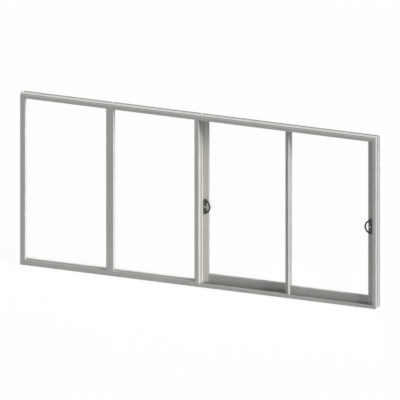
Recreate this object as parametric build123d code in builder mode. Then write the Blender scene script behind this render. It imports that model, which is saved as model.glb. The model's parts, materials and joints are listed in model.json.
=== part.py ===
"""Aluminium window and door unit: two fixed lites mulled to a two-panel sliding door.

Millimetres. X runs along the unit, Y from the room side to the outside, Z up.
The origin is under the sub-sill, at the middle of the unit's length and depth.
"""
import os

from build123d import *

# Overall sizes
frame_height = 2032.0
frame_depth = 136.0
door_width = 2125.0
lite_opening_width = 968.0

# Sight widths of the upright frame faces
end_face = 58.0
mull_face = 41.0
second_mull_face = 44.0
door_mull_face = 48.0
door_end_face = 38.0

# Outer step and nailing fin that run round the head and the two ends
step = 12.0
head_step_depth = 14.0
jamb_step_depth = 44.0
fin_depth = 75.0
fin_thickness = 2.5
fin_reach = 10.0
fin_corner_cut = 24.0

# Gap between one head and the next, seen from above
mull_gap = 14.0
door_mull_offset = 2.0

# Sub-sill
sub_sill_height = 10.0

# Fixed lites
flange_depth = 26.0
rebate = 30.0
end_rebate = 40.0
head_drop = 52.0
sill_top = 60.0
sill_back_height = 34.0
bead_height = 23.0
bead_depth = 12.0
bead_chamfer = 2.0
stop_width = 8.0
stop_depth = 18.0
stop_joint = 0.5

# Sealed glass units
pane = 4.0
lite_cavity = 14.0
panel_cavity = 10.0
lite_glass_gap = 2.0
spacer_inset = 3.0
spacer_width = 8.0

# Door frame
door_left_lip = 21.0
door_left_lip_front = 62.0
door_left_lip_back = 92.0
door_left_web = 8.0
door_right_web = 39.0
door_lip_depth = 30.0
door_sill_lip_height = 40.0
door_sill_lip_depth = 10.0
door_sill_floor = 18.0
door_sill_back_height = 28.0
door_back_lip = 4.0
drain_slot_width = 32.0
drain_slot_height = 5.0
drain_slot_count = 5
door_head_web = 20.0
door_head_rib_drop = 27.0
door_head_back_drop = 52.0

# Tracks
track_base_width = 20.0
track_base_height = 3.0
track_rib_width = 5.0
track_top = 36.0

# Door panels
panel_overlap = 52.0
panel_thickness = 28.0
panel_front_depth = 44.0
panel_gap = 26.0
panel_bottom = 30.0
panel_head_clearance = 8.0
panel_side_clearance = 6.0
left_panel_clearance = 5.0
right_panel_clearance = 5.0
lock_stile_width = 72.0
interlock_width = 56.0
nose_start = 21.0
nose_crown = 36.0
nose_height = 14.0
nose_top_clearance = 5.0
top_rail_height = 34.0
bottom_rail_height = 105.0
glass_groove_depth = 12.0
glass_groove_clearance = 1.0
finger_recess_width = 26.0
finger_recess_height = 120.0
finger_recess_depth = 6.0
finger_recess_margin = 15.0

# Rollers under each panel
roller_groove_width = 16.0
roller_groove_height = 34.0
roller_radius = 12.0
roller_width = 8.0
roller_axle_radius = 2.5
roller_running_gap = 0.3
roller_inset = 140.0

# Handle sets
left_handle_height = 930.0
right_handle_height = 958.0
plate_height = 178.0
plate_width = 36.0
plate_thickness = 7.0
left_plate_margin = 13.0
right_plate_margin = 26.0
plate_corner = 6.0
plate_edge_chamfer = 2.5
pull_reach = 86.0
pull_bar_width = 18.0
pull_bar_thickness = 13.0
pull_foot_inset = 8.0
pull_edge_chamfer = 3.0
turn_hub_radius = 9.0
turn_hub_height = 4.0
turn_lever_reach = 20.0
turn_lever_width = 9.0
turn_lever_thickness = 7.0
turn_rest_angle = 45.0
turn_gap = 0.3

# Places worked out from the sizes above
first_lite_width = step + end_face + lite_opening_width + mull_face
second_lite_width = second_mull_face + lite_opening_width + door_mull_face
unit_width = first_lite_width + second_lite_width + door_width
x_left = -unit_width / 2
x_first_mull = x_left + first_lite_width
x_door = x_first_mull + second_lite_width
x_right = unit_width / 2
y_front = -frame_depth / 2
lite_glass_depth = 2 * pane + lite_cavity
panel_glass_depth = 2 * pane + panel_cavity
head_line = frame_height - head_drop
fin_back = fin_depth + fin_thickness
door_clear_width = door_width - door_left_web - door_right_web - left_panel_clearance - right_panel_clearance
panel_width = (door_clear_width + panel_overlap) / 2
panel_top = frame_height - door_head_web - panel_head_clearance
panel_rear_depth = panel_front_depth + panel_thickness + panel_gap

os.makedirs("parts", exist_ok=True)


def write(piece, name):
    piece.label = name
    export_step(piece, f"parts/{name}.step")


def section_along_x(x):
    """Sketch plane across the unit: local x is depth from the room face, local y is height."""
    return Plane(origin=(x, y_front, 0), x_dir=(0, 1, 0), z_dir=(1, 0, 0))


def section_from_left(x, z):
    """Level sketch plane: local x runs to the right from x, local y is depth."""
    return Plane(origin=(x, y_front, z), x_dir=(1, 0, 0), z_dir=(0, 0, 1))


def section_from_right(x, z):
    """Level sketch plane facing down: local x runs to the left from x, local y is depth."""
    return Plane(origin=(x, y_front, z), x_dir=(-1, 0, 0), z_dir=(0, 0, -1))


def extrusion(plane, outline, length):
    with BuildPart() as bar:
        with BuildSketch(plane):
            with BuildLine():
                Polyline(*outline, close=True)
            make_face()
        extrude(amount=length)
    return bar.part


def upright(x, outline, faces_right, bottom, top):
    """A bar that stands from bottom to top, with its section drawn from its outer face."""
    if faces_right:
        return extrusion(section_from_left(x, bottom), outline, top - bottom)
    return extrusion(section_from_right(x, top), outline, top - bottom)


def notched(bar, boxes):
    """Cut boxes, each (x low, x high, depth low, depth high, z low, z high), out of a bar."""
    with BuildPart() as coped:
        add(bar)
        for box in boxes:
            add(block(*box), mode=Mode.SUBTRACT)
    return coped.part


def block(x_low, x_high, d_low, d_high, z_low, z_high):
    return upright(x_low, rectangle(0, x_high - x_low, d_low, d_high), True, z_low, z_high)


def rectangle(u_low, u_high, v_low, v_high):
    return [(u_low, v_low), (u_high, v_low), (u_high, v_high), (u_low, v_high)]


# Sub-sill
write(block(x_left + step, x_right - step, 0, frame_depth, 0, sub_sill_height), "sub_sill")

# Cuts in the tops of the bars: the steps before and behind the fin, the gaps between the heads, the corners
step_bottom = frame_height - step
door_gap_low = x_door + door_mull_offset
door_gap_high = door_gap_low + mull_gap
front_step = (x_left, x_right, 0, head_step_depth, step_bottom, frame_height)
back_step = (x_left, x_right, fin_back, frame_depth, step_bottom, frame_height)
top_steps = [front_step, back_step]
first_gap_high = x_first_mull + mull_gap
first_mull_gap = (x_first_mull, first_gap_high, head_step_depth, frame_depth, step_bottom, frame_height)
door_gap = (door_gap_low, door_gap_high, head_step_depth, frame_depth, step_bottom, frame_height)
left_corner = (x_left, x_left + step, jamb_step_depth, fin_depth, step_bottom, frame_height)
left_fin_top = frame_height - fin_corner_cut
left_fin_end = (x_left - fin_reach, x_left, fin_depth, fin_back, left_fin_top, frame_height)
right_corner = (x_right - step, x_right, jamb_step_depth, fin_depth, step_bottom, frame_height)


def finned(head, x_low, x_high):
    """Add the nailing fin along a head. It runs on over the jamb tops."""
    with BuildPart() as whole:
        add(head)
        add(block(x_low, x_high, fin_depth, fin_back, frame_height, frame_height + fin_reach))
    return whole.part


# Fixed lite profiles
def end_jamb_outline(face):
    """End jamb with the outer step, the nailing fin and a deep glass rebate."""
    flange = step + face
    return [
        (step, 0),
        (flange, 0),
        (flange, flange_depth),
        (flange - end_rebate, flange_depth),
        (flange - end_rebate, frame_depth),
        (step, frame_depth),
        (step, fin_back),
        (-fin_reach, fin_back),
        (-fin_reach, fin_depth),
        (0, fin_depth),
        (0, jamb_step_depth),
        (step, jamb_step_depth),
    ]


def mull_jamb_outline(face):
    """Jamb that stands against the next frame, so its outer side is plain."""
    return [
        (0, 0),
        (face, 0),
        (face, flange_depth),
        (face - rebate, flange_depth),
        (face - rebate, frame_depth),
        (0, frame_depth),
    ]


head_outline = [
    (0, head_line),
    (flange_depth, head_line),
    (flange_depth, head_line + rebate),
    (frame_depth, head_line + rebate),
    (frame_depth, step_bottom),
    (fin_back, step_bottom),
    (fin_back, frame_height),
    (head_step_depth, frame_height),
    (head_step_depth, step_bottom),
    (0, step_bottom),
]

stop_front = flange_depth + lite_glass_depth
stop_back = stop_front + stop_depth

sill_outline = [
    (0, sub_sill_height),
    (frame_depth, sub_sill_height),
    (frame_depth, sill_back_height),
    (stop_back, sill_top),
    (0, sill_top),
]

bead_outline = [
    (flange_depth - bead_depth, sill_top),
    (flange_depth, sill_top),
    (flange_depth, sill_top + bead_height),
    (flange_depth - bead_depth + bead_chamfer, sill_top + bead_height),
    (flange_depth - bead_depth, sill_top + bead_height - bead_chamfer),
]


def sealed_unit(x_low, x_high, z_low, z_high, d_front, cavity):
    """Two panes with a cavity between them, and the spacer ring that parts them."""
    d_back = d_front + pane + cavity
    with BuildPart() as panes:
        for depth in (d_front, d_back):
            with BuildSketch(section_from_left(x_low, z_low)):
                with Locations(((x_high - x_low) / 2, depth + pane / 2)):
                    Rectangle(x_high - x_low, pane)
            extrude(amount=z_high - z_low)
    width = x_high - x_low - 2 * spacer_inset
    height = z_high - z_low - 2 * spacer_inset
    middle = ((x_low + x_high) / 2, y_front + d_front + pane, (z_low + z_high) / 2)
    with BuildPart() as spacer:
        with BuildSketch(Plane(origin=middle, x_dir=(1, 0, 0), z_dir=(0, 1, 0))):
            Rectangle(width, height)
            Rectangle(width - 2 * spacer_width, height - 2 * spacer_width, mode=Mode.SUBTRACT)
        extrude(amount=cavity)
    return panes.part, spacer.part


def fixed_lite(name, x_low, x_high, first):
    """One fixed lite between its outer faces. The first one has the end jamb."""
    right_face = mull_face if first else door_mull_face
    opening_low = x_low + (step + end_face if first else second_mull_face)
    opening_high = x_high - right_face
    web_low = opening_low - (end_rebate if first else rebate)
    web_high = opening_high + rebate
    left_outline = end_jamb_outline(end_face) if first else mull_jamb_outline(second_mull_face)
    left_cuts = [left_corner, left_fin_end] if first else [first_mull_gap]
    left_jamb = upright(x_low, left_outline, True, sub_sill_height, frame_height)
    right_jamb = upright(x_high, mull_jamb_outline(right_face), False, sub_sill_height, frame_height)
    write(notched(left_jamb, top_steps + left_cuts), f"{name}_left_jamb")
    write(notched(right_jamb, top_steps), f"{name}_right_jamb")

    copes = [
        (web_low, opening_low, 0, flange_depth, 0, frame_height),
        (opening_high, web_high, 0, flange_depth, 0, frame_height),
    ]
    span = web_high - web_low
    fin_low = web_low if first else x_low + mull_gap
    fin_high = x_high if first else door_gap_low
    head = notched(extrusion(section_along_x(web_low), head_outline, span), copes)
    write(finned(head, fin_low, fin_high), f"{name}_head")
    write(notched(extrusion(section_along_x(web_low), sill_outline, span), copes), f"{name}_sill")
    opening = opening_high - opening_low
    write(extrusion(section_along_x(opening_low), bead_outline, opening), f"{name}_sill_bead")

    with BuildPart() as stops:
        for z_low in (sill_top, head_line + rebate - stop_width):
            add(block(web_low, web_high, stop_front, stop_back, z_low, z_low + stop_width))
        side_low = sill_top + stop_width + stop_joint
        side_high = head_line + rebate - stop_width - stop_joint
        for side in (web_low, web_high - stop_width):
            add(block(side, side + stop_width, stop_front, stop_back, side_low, side_high))
    write(stops.part, f"{name}_outside_stops")

    glass, spacer = sealed_unit(
        web_low + lite_glass_gap,
        web_high - lite_glass_gap,
        sill_top,
        head_line + rebate - lite_glass_gap,
        flange_depth,
        lite_cavity,
    )
    write(glass, f"{name}_glass")
    write(spacer, f"{name}_glass_spacer")


fixed_lite("lite_1", x_left, x_first_mull, True)
fixed_lite("lite_2", x_first_mull, x_door, False)

# Door frame
door_web_right = x_right - door_right_web
door_lip_right = x_right - step - door_end_face
rib_front = panel_front_depth + panel_thickness + panel_side_clearance
rib_back = panel_rear_depth - panel_side_clearance
head_web_under = frame_height - door_head_web
door_back_inside = frame_depth - door_back_lip

door_left_outline = [
    (0, door_left_lip_front),
    (door_left_lip, door_left_lip_front),
    (door_left_lip, door_left_lip_back),
    (door_left_web, door_left_lip_back),
    (door_left_web, frame_depth),
    (0, frame_depth),
]
door_left_jamb = upright(x_door, door_left_outline, True, sub_sill_height, frame_height)
write(notched(door_left_jamb, [back_step, door_gap]), "door_left_jamb")

door_right_outline = [
    (step, 0),
    (step + door_end_face, 0),
    (step + door_end_face, door_lip_depth),
    (door_right_web, door_lip_depth),
    (door_right_web, frame_depth),
    (step, frame_depth),
    (step, fin_back),
    (-fin_reach, fin_back),
    (-fin_reach, fin_depth),
    (0, fin_depth),
    (0, jamb_step_depth),
    (step, jamb_step_depth),
]
door_right_jamb = upright(x_right, door_right_outline, False, sub_sill_height, frame_height)
write(notched(door_right_jamb, top_steps + [right_corner]), "door_right_jamb")

door_copes = [
    (x_door, x_door + door_left_lip, door_left_lip_front, door_left_lip_back, 0, frame_height),
    (x_door, x_door + door_left_web, door_left_lip_back, frame_depth, 0, frame_height),
    (door_lip_right, door_web_right, 0, door_lip_depth, 0, frame_height),
]
door_span = door_web_right - x_door

door_head_outline = [
    (0, head_line),
    (door_lip_depth, head_line),
    (door_lip_depth, head_web_under),
    (rib_front, head_web_under),
    (rib_front, head_web_under - door_head_rib_drop),
    (rib_back, head_web_under - door_head_rib_drop),
    (rib_back, head_web_under),
    (door_back_inside, head_web_under),
    (door_back_inside, frame_height - door_head_back_drop),
    (frame_depth, frame_height - door_head_back_drop),
    (frame_depth, step_bottom),
    (fin_back, step_bottom),
    (fin_back, frame_height),
    (head_step_depth, frame_height),
    (head_step_depth, step_bottom),
    (0, step_bottom),
]
door_head = notched(extrusion(section_along_x(x_door), door_head_outline, door_span), door_copes + [door_gap])
write(finned(door_head, door_gap_high, x_right - step), "door_head")

door_sill_outline = [
    (0, sub_sill_height),
    (frame_depth, sub_sill_height),
    (frame_depth, door_sill_back_height),
    (door_back_inside, door_sill_back_height),
    (door_back_inside, door_sill_floor),
    (door_sill_lip_depth, door_sill_floor),
    (door_sill_lip_depth, door_sill_lip_height),
    (0, door_sill_lip_height),
]
drain_top = door_sill_floor + drain_slot_height
drain_pitch = door_span / drain_slot_count
drain_starts = [x_door + (i + 0.5) * drain_pitch - drain_slot_width / 2 for i in range(drain_slot_count)]
drains = [
    (x, x + drain_slot_width, door_back_inside, frame_depth, door_sill_floor, drain_top) for x in drain_starts
]
door_sill = extrusion(section_along_x(x_door), door_sill_outline, door_span)
write(notched(door_sill, door_copes + drains), "door_sill")

tracks = (
    ("front_track", panel_front_depth, x_door + door_left_lip),
    ("rear_track", panel_rear_depth, x_door + door_left_web),
)
for track_name, panel_depth, track_low in tracks:
    middle = panel_depth + panel_thickness / 2
    base_top = door_sill_floor + track_base_height
    track_outline = [
        (middle - track_base_width / 2, door_sill_floor),
        (middle + track_base_width / 2, door_sill_floor),
        (middle + track_base_width / 2, base_top),
        (middle + track_rib_width / 2, base_top),
        (middle + track_rib_width / 2, track_top),
        (middle - track_rib_width / 2, track_top),
        (middle - track_rib_width / 2, base_top),
        (middle - track_base_width / 2, base_top),
    ]
    write(extrusion(section_along_x(track_low), track_outline, door_web_right - track_low), track_name)


# Door panels
def grooved(width, depth):
    """Stile section, drawn from its outer edge, with the glass groove in its inner edge."""
    groove_low = depth + (panel_thickness - panel_glass_depth) / 2
    groove_high = groove_low + panel_glass_depth
    return [
        (0, depth),
        (width, depth),
        (width, groove_low),
        (width - glass_groove_depth, groove_low),
        (width - glass_groove_depth, groove_high),
        (width, groove_high),
        (width, depth + panel_thickness),
        (0, depth + panel_thickness),
    ]


def nosed(stile, x_edge, depth, faces_right):
    """Add the nose along an interlock stile's room face. Its crown is nearer the glass."""
    nose_outline = [
        (nose_start, depth),
        (interlock_width, depth),
        (nose_crown, depth - nose_height),
    ]
    with BuildPart() as whole:
        add(stile)
        add(upright(x_edge, nose_outline, faces_right, panel_bottom, head_line - nose_top_clearance))
    return whole.part


def track_slotted(stile, depth):
    """Cut the slot through a stile's foot that the track rib runs in."""
    foot = Plane(origin=(0, y_front + depth + panel_thickness / 2, panel_bottom))
    with BuildPart() as slotted:
        add(stile)
        with BuildSketch(foot):
            Rectangle(unit_width, roller_groove_width)
        extrude(amount=roller_groove_height, mode=Mode.SUBTRACT)
    return slotted.part


def door_panel(name, x_low, depth, lock_on_left):
    """One sliding panel with its handle set on the lock stile, away from the overlap."""
    x_high = x_low + panel_width
    left_width = lock_stile_width if lock_on_left else interlock_width
    right_width = interlock_width if lock_on_left else lock_stile_width
    left_name = "lock_stile" if lock_on_left else "interlock_stile"
    right_name = "interlock_stile" if lock_on_left else "lock_stile"
    left_stile = upright(x_low, grooved(left_width, depth), True, panel_bottom, panel_top)
    right_stile = upright(x_high, grooved(right_width, depth), False, panel_bottom, panel_top)
    if lock_on_left:
        right_stile = nosed(right_stile, x_high, depth, False)
    else:
        left_stile = nosed(left_stile, x_low, depth, True)
    handle_height = left_handle_height if lock_on_left else right_handle_height
    recess_x = x_low + finger_recess_margin
    if not lock_on_left:
        recess_x = x_high - finger_recess_margin - finger_recess_width
    finger_recess = (
        recess_x,
        recess_x + finger_recess_width,
        depth + panel_thickness - finger_recess_depth,
        depth + panel_thickness,
        handle_height - finger_recess_height / 2,
        handle_height + finger_recess_height / 2,
    )
    write(notched(track_slotted(left_stile, depth), [finger_recess]), f"{name}_{left_name}")
    write(notched(track_slotted(right_stile, depth), [finger_recess]), f"{name}_{right_name}")

    day_low = x_low + left_width
    day_high = x_high - right_width
    span = day_high - day_low
    middle = depth + panel_thickness / 2
    groove_low = middle - panel_glass_depth / 2
    groove_high = middle + panel_glass_depth / 2
    back = depth + panel_thickness

    top_rail_low = panel_top - top_rail_height
    top_rail_outline = [
        (depth, top_rail_low),
        (groove_low, top_rail_low),
        (groove_low, top_rail_low + glass_groove_depth),
        (groove_high, top_rail_low + glass_groove_depth),
        (groove_high, top_rail_low),
        (back, top_rail_low),
        (back, panel_top),
        (depth, panel_top),
    ]
    write(extrusion(section_along_x(day_low), top_rail_outline, span), f"{name}_top_rail")

    bottom_rail_top = panel_bottom + bottom_rail_height
    channel_low = middle - roller_groove_width / 2
    channel_high = middle + roller_groove_width / 2
    channel_top = panel_bottom + roller_groove_height
    bottom_rail_outline = [
        (depth, panel_bottom),
        (channel_low, panel_bottom),
        (channel_low, channel_top),
        (channel_high, channel_top),
        (channel_high, panel_bottom),
        (back, panel_bottom),
        (back, bottom_rail_top),
        (groove_high, bottom_rail_top),
        (groove_high, bottom_rail_top - glass_groove_depth),
        (groove_low, bottom_rail_top - glass_groove_depth),
        (groove_low, bottom_rail_top),
        (depth, bottom_rail_top),
    ]
    write(extrusion(section_along_x(day_low), bottom_rail_outline, span), f"{name}_bottom_rail")

    bite = glass_groove_depth - glass_groove_clearance
    glass, spacer = sealed_unit(
        day_low - bite,
        day_high + bite,
        bottom_rail_top - glass_groove_depth,
        top_rail_low + bite,
        groove_low,
        panel_cavity,
    )
    write(glass, f"{name}_glass")
    write(spacer, f"{name}_glass_spacer")

    roller_height = track_top + roller_running_gap + roller_radius
    with BuildPart() as rollers:
        for x in (day_low + roller_inset, day_high - roller_inset):
            centre = (x, y_front + middle, roller_height)
            with BuildSketch(Plane(origin=centre, x_dir=(1, 0, 0), z_dir=(0, 1, 0))):
                Circle(roller_radius)
            extrude(amount=roller_width / 2, both=True)
            with BuildSketch(Plane(origin=centre, x_dir=(1, 0, 0), z_dir=(0, 1, 0))):
                Circle(roller_axle_radius)
            extrude(amount=roller_groove_width / 2, both=True)
    write(rollers.part, f"{name}_rollers")

    if lock_on_left:
        handle_set(name, x_low + left_plate_margin, y_front + depth, handle_height, 1)
    else:
        handle_set(name, x_high - right_plate_margin, y_front + depth, handle_height, -1)


def handle_set(name, x_edge, y_face, height, inward):
    """Plate, bowed pull and thumb turn. inward is the way along X to the panel's middle."""
    face = Plane(origin=(x_edge, y_face, height), x_dir=(inward, 0, 0), z_dir=(0, -1, 0))
    with BuildPart() as plate:
        with BuildSketch(face):
            with Locations((plate_width / 2, 0)):
                RectangleRounded(plate_width, plate_height, plate_corner)
        extrude(amount=plate_thickness)
        chamfer(plate.faces().sort_by(Axis.Y)[0].edges(), plate_edge_chamfer)
    write(plate.part, f"{name}_handle_plate")

    foot_x = plate_width - pull_foot_inset
    foot_y = plate_height / 2 - pull_foot_inset
    inner_reach = pull_reach - pull_bar_width
    inner_y = foot_y - pull_bar_width
    with BuildPart() as pull:
        with BuildSketch(face.offset(plate_thickness)):
            with BuildLine():
                ThreePointArc((foot_x, -foot_y), (pull_reach, 0), (foot_x, foot_y))
                ThreePointArc((foot_x, -inner_y), (inner_reach, 0), (foot_x, inner_y))
                Line((foot_x, -foot_y), (foot_x, -inner_y))
                Line((foot_x, foot_y), (foot_x, inner_y))
            make_face()
        extrude(amount=pull_bar_thickness)
        chamfer(pull.faces().sort_by(Axis.Y)[0].edges(), pull_edge_chamfer)
    write(pull.part, f"{name}_pull")

    pivot = (plate_width / 2, 0)
    with BuildPart() as turn:
        with BuildSketch(face.offset(plate_thickness + turn_gap)):
            with Locations(pivot):
                Circle(turn_hub_radius)
        extrude(amount=turn_hub_height)
        with BuildSketch(face.offset(plate_thickness + turn_gap + turn_hub_height)):
            with Locations(Location(pivot, -inward * turn_rest_angle)):
                with Locations((turn_lever_reach / 2, 0)):
                    SlotCenterToCenter(turn_lever_reach, turn_lever_width)
        extrude(amount=turn_lever_thickness)
    write(turn.part, f"{name}_thumb_turn")


left_panel_x = x_door + door_left_web + left_panel_clearance
right_panel_x = door_web_right - right_panel_clearance - panel_width
door_panel("left_panel", left_panel_x, panel_rear_depth, True)
door_panel("right_panel", right_panel_x, panel_front_depth, False)
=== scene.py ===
import json
import math

import bmesh
import bpy
from bpy.props import FloatProperty, FloatVectorProperty, PointerProperty
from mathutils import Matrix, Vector


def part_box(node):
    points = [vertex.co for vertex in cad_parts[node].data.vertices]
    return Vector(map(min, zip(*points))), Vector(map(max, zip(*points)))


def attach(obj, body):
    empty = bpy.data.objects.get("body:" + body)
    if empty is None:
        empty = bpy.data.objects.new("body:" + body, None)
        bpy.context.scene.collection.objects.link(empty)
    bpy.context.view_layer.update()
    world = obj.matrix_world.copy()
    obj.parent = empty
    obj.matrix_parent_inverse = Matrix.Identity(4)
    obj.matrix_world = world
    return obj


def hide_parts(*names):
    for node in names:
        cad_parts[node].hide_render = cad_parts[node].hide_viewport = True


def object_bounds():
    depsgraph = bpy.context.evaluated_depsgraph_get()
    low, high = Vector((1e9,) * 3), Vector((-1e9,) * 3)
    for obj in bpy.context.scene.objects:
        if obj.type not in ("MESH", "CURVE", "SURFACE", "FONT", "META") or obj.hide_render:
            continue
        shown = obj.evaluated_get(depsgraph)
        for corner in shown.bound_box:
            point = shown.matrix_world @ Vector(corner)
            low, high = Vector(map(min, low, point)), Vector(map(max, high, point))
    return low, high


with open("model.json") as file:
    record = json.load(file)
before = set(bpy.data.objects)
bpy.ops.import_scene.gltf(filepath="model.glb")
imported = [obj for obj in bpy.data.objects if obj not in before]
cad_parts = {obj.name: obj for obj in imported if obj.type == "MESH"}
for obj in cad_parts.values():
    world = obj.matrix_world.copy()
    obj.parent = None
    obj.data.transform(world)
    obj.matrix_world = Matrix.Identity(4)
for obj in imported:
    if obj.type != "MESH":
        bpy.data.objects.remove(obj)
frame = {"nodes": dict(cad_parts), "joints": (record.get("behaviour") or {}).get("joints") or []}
cad_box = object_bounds()

bl_info = {
    "name": "Lite and Sliding Door Unit",
    "version": (1, 0, 0),
    "blender": (4, 5, 0),
    "location": "View3D > Sidebar > Door Unit",
    "description": "Finishes, seals and fittings for a wall unit of fixed lites and a sliding door",
    "category": "Object",
}

LITES = ("lite_1", "lite_2")
PANELS = ("left_panel", "right_panel")
X_AXIS = Vector((1.0, 0.0, 0.0))
Y_AXIS = Vector((0.0, 1.0, 0.0))
LEVEL, UPRIGHT = 0, 2  # the axis that a bar is drawn along
SHARP_ANGLE = math.radians(35)  # edges that turn further than this stay crisp

# Where the values of a noise lie: nearly all of them, and the bulk
WIDE_SPAN = (0.3, 0.7)
NARROW_SPAN = (0.35, 0.65)

# Sections of the seals, as shares of their width and of their depth
WEDGE_GASKET = ((0.0, 0.0), (1.0, 0.0), (0.95, 0.35), (0.55, 0.80), (0.25, 1.0), (0.0, 1.0))
CHANNEL_GASKET = ((0.0, 0.0), (1.0, 0.0), (0.9, 0.4), (0.5, 0.85), (0.0, 1.0))
PILE_BACKING = ((0.0, 0.0), (1.0, 0.0), (1.0, 0.16), (0.82, 0.20))
PILE_BRUSH = ((0.74, 1.0), (0.26, 1.0), (0.18, 0.20), (0.0, 0.16))
PILE_STRIP = PILE_BACKING + PILE_BRUSH

# Rings of the turned heads: shares of radius and height, and the depth of a cross recess
PAN_RIM = ((1.0, 0.45, 0.0), (0.90, 0.80, 0.0), (0.68, 1.0, 0.0))
PAN_RECESS = ((0.44, 1.0, 0.28), (0.30, 0.35, 0.28))
PAN_HEAD = PAN_RIM + PAN_RECESS
PLUG_HEAD = ((1.0, 0.5, 0.0), (0.86, 1.0, 0.0), (0.50, 1.0, 0.0), (0.44, 0.6, 0.0))
SUNK = 0.0004  # how far a fitting's foot is let into the face behind it

# Pulls
PULL_STATIONS = 56  # sections along the bow
PULL_POINTS = 20  # points round the bar
PULL_SQUARENESS = 0.62  # 1 makes the bar oval, less makes it squarer
PULL_CLOSING = 0.006  # length over which the bar closes at its feet
PULL_END_FACE = 0.06  # keeps the ends from closing to a point
PULL_SEAT = 0.001  # kept off the panel where the ends lean back to it

# Weep covers: metres down the slope, height and share of the width at each section
WEEP_COVER = (
    (0.0, 0.0006, 0.92),
    (0.002, 0.0028, 0.97),
    (0.012, 0.0046, 1.0),
    (0.015, 0.0040, 1.0),
)
WEEP_PLACES = (0.18, 0.82)  # shares of the sill's length
WEEP_DROP = 0.42  # share of the slope that lies above a cover
WEEP_TAPER = 0.94  # width of a cover's top against its foot

# Stage
LAMP_DISTANCE = 8.0
CAMERA_DISTANCE = 14.0
CAMERA_REACH = 100.0
FLOOR_HALF = 30.0
FLOOR_GAP = 0.0005  # keeps the floor just under the unit
WHITE = (1.0, 1.0, 1.0)


# Sizes and colours that a user would change
def length(name, description, default):
    return FloatProperty(
        name=name, description=description, default=default, min=0.0, unit="LENGTH"
    )


def shade(name, description, default):
    return FloatVectorProperty(
        name=name, description=description, default=default,
        size=3, min=0.0, max=1.0, subtype="COLOR",
    )


def angle(name, description, degrees):
    return FloatProperty(
        name=name, description=description, default=math.radians(degrees), subtype="ANGLE"
    )


def amount(name, description, default):
    return FloatProperty(name=name, description=description, default=default, min=0.0)


def coordinates(name, description, default):
    return FloatVectorProperty(
        name=name, description=description, default=default, subtype="XYZ"
    )


class DoorUnitSizes(bpy.types.PropertyGroup):
    """Sizes of the seals and fittings"""

    gasket_show: length("Gasket show", "How far a glazing gasket stands into the opening", 0.0014)
    gasket_depth: length("Gasket depth", "How far a glazing gasket stands off the glass", 0.006)
    panel_gasket_depth: length("Panel gasket depth", "The same on the door panels", 0.0045)
    pile_width: length("Pile width", "Width of the pile strips inside the door frame", 0.006)
    pile_depth: length("Pile depth", "How far the pile stands off the lip that holds it", 0.007)
    pile_seat: length("Pile seat", "From the lip that holds the pile to the front panel", 0.014)
    pile_margin: length("Pile margin", "From the edge of the lip to the pile", 0.002)
    pull_bar: length("Pull bar", "Width of the pull's bar in the plane of its bow", 0.018)
    pull_thinning: length("Pull thinning", "How much thinner the pull is at its crown", 0.002)
    screw_radius: length("Screw radius", "Radius of the screw heads", 0.0042)
    screw_height: length("Screw height", "Height of the screw heads", 0.0016)
    screw_spacing: length("Plate screw spacing", "From the plate's middle to a plate screw", 0.046)
    screw_pitch: length("Frame screw pitch", "Between the frame screws, from the outside in", 0.018)
    screw_margin: length("Frame screw margin", "From a jamb's end to the frame screws", 0.010)
    plug_radius: length("Plug radius", "Radius of the roller adjuster plugs", 0.0055)
    plug_height: length("Plug height", "How far the roller adjuster plugs stand proud", 0.0012)
    plug_inset: length("Plug inset", "From the end of a bottom rail to a plug", 0.022)
    plug_rise: length("Plug rise", "From the underside of a bottom rail to a plug", 0.05)
    bead_width: length("Glazing stop width", "Width of the outside glazing stops", 0.008)
    sill_fall: length("Sill fall", "How far the sills slope down to the outside", 0.026)
    fin_reach: length("Fin reach", "How far the nailing fin stands out", 0.010)
    end_step: length("End step", "How far the outer faces step in behind the fin", 0.012)
    stop_length: length("Head stop length", "Length of the rubber stops in the head", 0.016)
    stop_width: length("Head stop width", "Width of the rubber stops", 0.018)
    stop_drop: length("Head stop drop", "How far the rubber stops hang from the head's web", 0.020)
    stop_nose: length("Head stop nose", "Chamfer round the lower end of the rubber stops", 0.003)
    stop_clear: length("Head stop clearance", "From a panel's furthest place to its stop", 0.008)
    head_gap: length("Head gap", "From a panel's top rail to the head's web", 0.008)
    weep_width: length("Weep cover width", "Width of the covers on the sills' slope", 0.036)
    edge_round: length("Edge round", "Radius of the softened edges of the bars", 0.0012)
    track_round: length("Track edge round", "The same on the tracks", 0.00084)
    handle_round: length("Handle edge round", "The same on the plates and pulls", 0.0012)
    turn_round: length("Thumb turn edge round", "The same on the thumb turns and screws", 0.0008)


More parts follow.
